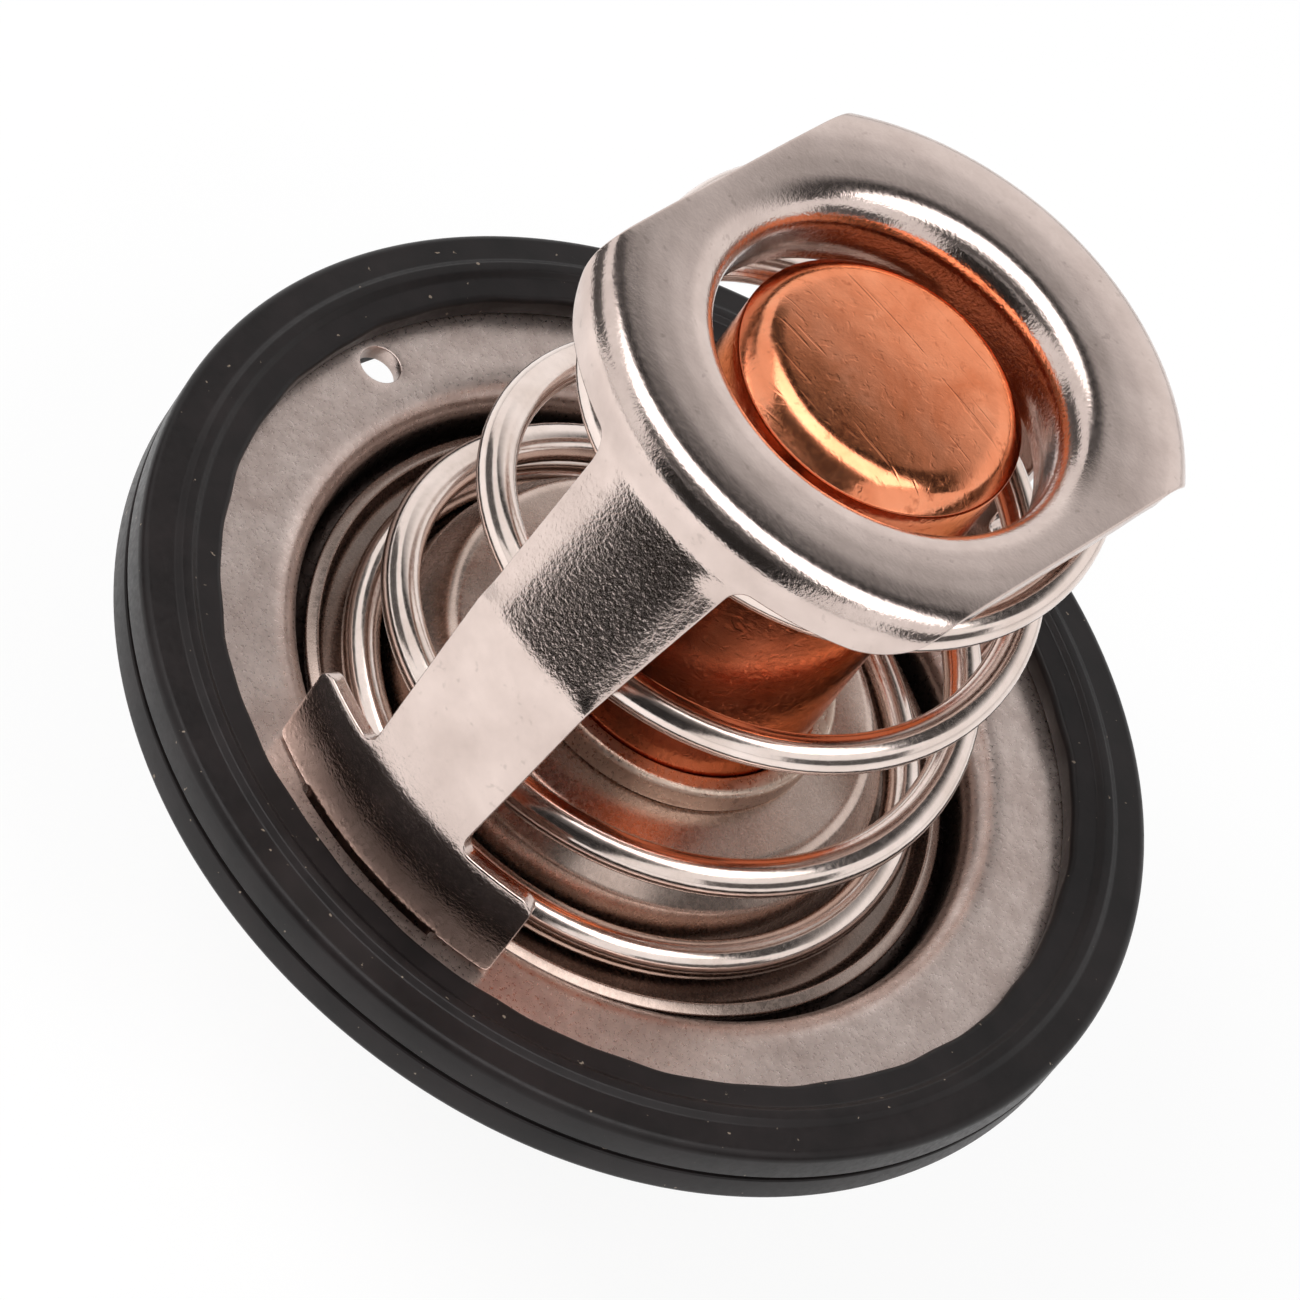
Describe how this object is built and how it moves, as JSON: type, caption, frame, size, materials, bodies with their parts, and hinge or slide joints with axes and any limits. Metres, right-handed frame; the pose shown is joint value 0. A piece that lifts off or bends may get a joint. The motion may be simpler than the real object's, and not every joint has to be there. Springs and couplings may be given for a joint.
{
  "type": "engine thermostat",
  "caption": "Wax-element coolant valve for an engine: rubber-rimmed steel flange, stirrup with guide collar, conical spring, stamped valve disc, copper cup and a piston held by a bridge.",
  "frame": {"origin": "on the valve axis, in the upper metal face of the flange, inside the rubber rim's outer cylinder", "axes": "+Z along the valve axis from the bridge towards the stirrup plate, the way the valve opens; the stirrup's legs lie on -Y and +Y"},
  "size_m": [0.067, 0.067, 0.0628],
  "materials": {
    "rim_rubber": "moulded",
    "stamped_steel": "satin stainless",
    "disc_steel": "satin stainless",
    "ring_steel": "knurled",
    "copper": "drawn copper",
    "wax": "copper-filled wax",
    "sleeve_rubber": "moulded",
    "brass": "turned",
    "ptfe": "smooth",
    "ground_steel": "ground",
    "spring_steel": "drawn wire"
  },
  "bodies": {
    "seat": {"flange": "stamped_steel", "rim_seal": "rim_rubber", "frame": "stamped_steel", "bridge": "stamped_steel", "piston": "ground_steel", "main_spring": "spring_steel"},
    "valve": {"valve_disc": "disc_steel", "retaining_ring": "ring_steel", "capsule": "copper", "wax_charge": "wax", "rubber_sleeve": "sleeve_rubber", "guide_body": "brass", "backup_washer": "ptfe", "wiper_ring": "sleeve_rubber"}
  },
  "joints": [
    {"name": "valve_lift", "type": "slide", "parent": "seat", "child": "valve", "axis": [0, 0, 1], "range_m": [0, 0.008], "stiffness_N_per_m": 3000, "springref_m": -0.01, "deforming": ["main_spring"]}
  ]
}
